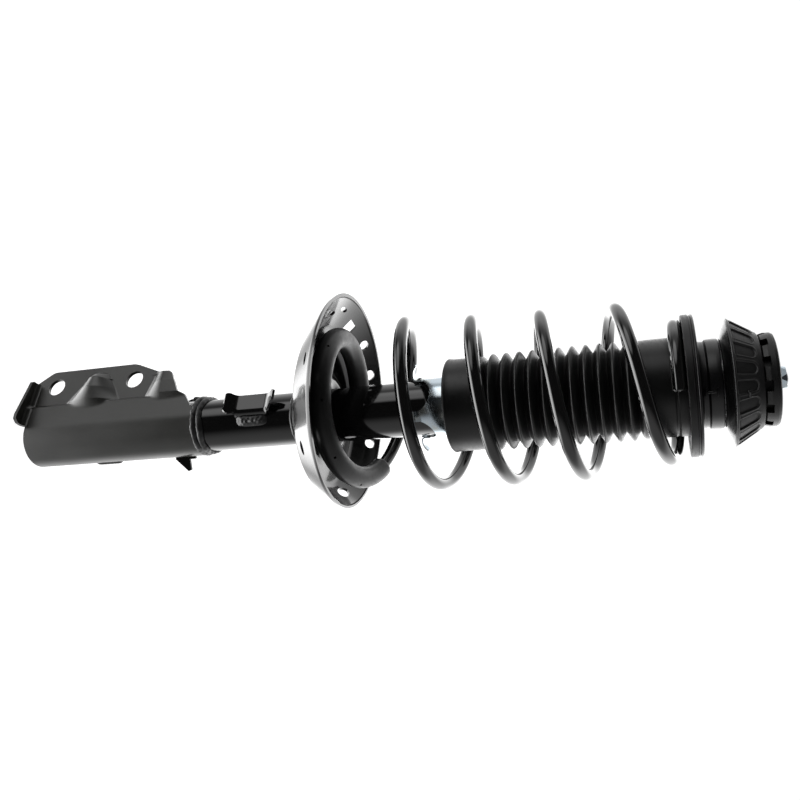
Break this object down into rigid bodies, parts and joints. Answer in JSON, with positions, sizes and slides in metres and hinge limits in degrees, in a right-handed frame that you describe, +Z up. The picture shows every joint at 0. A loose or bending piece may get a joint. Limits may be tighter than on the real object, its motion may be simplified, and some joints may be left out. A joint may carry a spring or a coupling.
{
  "type": "suspension strut",
  "caption": "MacPherson suspension strut: twin-tube damper with knuckle bracket, coil spring, dust boot, bearing and rubber top mount.",
  "frame": {"origin": "on the damper axis, at the top face of the rubber cone of the top mount, where the body's strut tower takes the load", "axes": "+Z up the damper axis towards the top mount; +X from the damper axis towards the knuckle, midway between the bracket's two ears; +Y along the knuckle bolts, right-handed"},
  "size_m": [0.1778, 0.1779, 0.6526],
  "materials": {
    "outer_tube": "gloss black electrocoat",
    "base_plug": "gloss black electrocoat over a pressed disc",
    "pressure_tube": "bright drawn tube",
    "base_valve": "sintered steel",
    "rod_guide": "sintered steel",
    "rod_seal": "matt nitrile",
    "bump_cap": "blue-bright zinc plate",
    "knuckle_bracket": "satin-gloss black electrocoat over pressed sheet",
    "bracket_weld": "black electrocoat over rough weld",
    "hose_bracket": "gloss black electrocoat",
    "hose_bracket_weld": "black electrocoat over rough weld",
    "sensor_tab": "gloss black electrocoat",
    "lower_spring_seat": "gloss black electrocoat over pressed sheet",
    "seat_weld": "black electrocoat over rough weld",
    "lower_insulator": "matt moulded rubber",
    "coil_spring": "gloss black powder coat",
    "upper_insulator": "matt moulded rubber",
    "upper_spring_seat": "satin black moulded plastic",
    "dust_boot": "satin black moulded boot",
    "bearing_lower_race": "pressed and hardened steel",
    "bearing_balls": "polished balls",
    "bearing_cage": "natural nylon",
    "bearing_upper_race": "pressed and hardened steel",
    "piston_rod": "hard chrome",
    "piston": "sintered iron",
    "piston_nut": "steel",
    "rebound_stop": "matt rubber",
    "bump_stop": "cellular polyurethane",
    "mount_core": "plain steel",
    "mount_rubber": "satin black moulded rubber",
    "mount_cap": "matt black moulded cap",
    "top_nut": "bright zinc plate"
  },
  "bodies": {
    "strut_body": {"outer_tube": "outer_tube", "base_plug": "base_plug", "pressure_tube": "pressure_tube", "base_valve": "base_valve", "rod_guide": "rod_guide", "rod_seal": "rod_seal", "bump_cap": "bump_cap", "knuckle_bracket": "knuckle_bracket", "bracket_weld": "bracket_weld", "hose_bracket": "hose_bracket", "hose_bracket_weld": "hose_bracket_weld", "sensor_tab": "sensor_tab", "lower_spring_seat": "lower_spring_seat", "seat_weld": "seat_weld", "lower_insulator": "lower_insulator", "coil_spring": "coil_spring"},
    "upper_seat": {"upper_insulator": "upper_insulator", "upper_spring_seat": "upper_spring_seat", "dust_boot": "dust_boot", "bearing_lower_race": "bearing_lower_race", "bearing_balls": "bearing_balls", "bearing_cage": "bearing_cage"},
    "top_mount": {"bearing_upper_race": "bearing_upper_race", "piston_rod": "piston_rod", "piston": "piston", "piston_nut": "piston_nut", "rebound_stop": "rebound_stop", "bump_stop": "bump_stop", "mount_core": "mount_core", "mount_rubber": "mount_rubber", "mount_cap": "mount_cap", "top_nut": "top_nut"}
  },
  "joints": [
    {"name": "damper_stroke", "type": "slide", "parent": "strut_body", "child": "upper_seat", "axis": [0, 0, 1], "range_m": [-0.12, 0], "stiffness_N_per_m": 25000, "springref_m": 0.06, "deforming": ["coil_spring", "dust_boot"]},
    {"name": "steering_bearing", "type": "hinge", "parent": "upper_seat", "child": "top_mount", "pos_m": [0, 0, 0], "axis": [0, 0, 1], "continuous": true}
  ]
}
